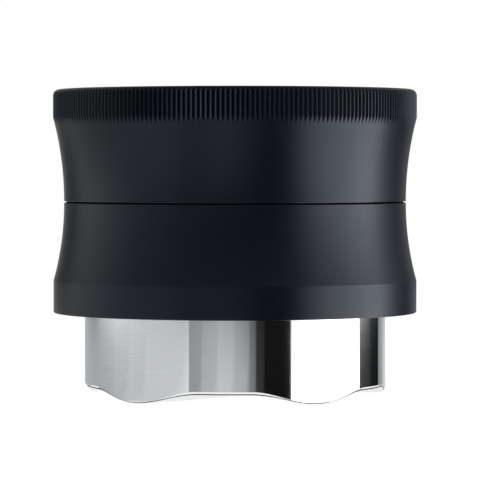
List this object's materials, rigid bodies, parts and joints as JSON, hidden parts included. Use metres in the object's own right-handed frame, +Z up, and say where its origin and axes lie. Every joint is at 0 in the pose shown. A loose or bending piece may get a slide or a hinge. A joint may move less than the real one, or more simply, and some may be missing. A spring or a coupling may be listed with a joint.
{
  "type": "espresso coffee distributor",
  "caption": "Hand-held coffee distributor: a knurled knob over a waisted collar sets how far a bladed steel base reaches into the filter basket.",
  "frame": {"origin": "on the axis, in the plane that the blade crests rest on, with the base fully out", "axes": "+Z up along the axis, from the bladed base to the knob; -Y is the front; the first blade is 57.9 degrees clockwise from +X seen from above"},
  "size_m": [0.0702, 0.0702, 0.059],
  "materials": {
    "black_anodise": "satin black anodised over a fine bead blast",
    "turned_steel": "fine turned wall and polished blades",
    "bare_aluminium": "turned, uncoated",
    "hard_steel": "ground",
    "seal_rubber": "moulded, matt",
    "bearing_plastic": "smooth, black"
  },
  "bodies": {
    "collar_body": {"collar": "black_anodise", "thrust_washer": "bearing_plastic", "friction_ring": "seal_rubber", "retaining_ring": "hard_steel"},
    "knob_body": {"knob": "black_anodise", "drive_pins": "hard_steel"},
    "base_body": {"distributor_base": "turned_steel", "threaded_carrier": "bare_aluminium", "carrier_screws": "hard_steel", "stop_ring": "hard_steel", "base_seal": "seal_rubber"}
  },
  "joints": [
    {"name": "knob_turn", "type": "hinge", "parent": "collar_body", "child": "knob_body", "pos_m": [0, 0, 0.0372], "axis": [0, 0, 1], "range_deg": [0, 2400]},
    {"name": "base_travel", "type": "slide", "parent": "knob_body", "child": "base_body", "axis": [0, 0, 1], "range_m": [0, 0.01]}
  ],
  "couplings": [
    {"joint": "base_travel", "follows": "knob_turn", "m_per_rad": 0.0002387}
  ]
}
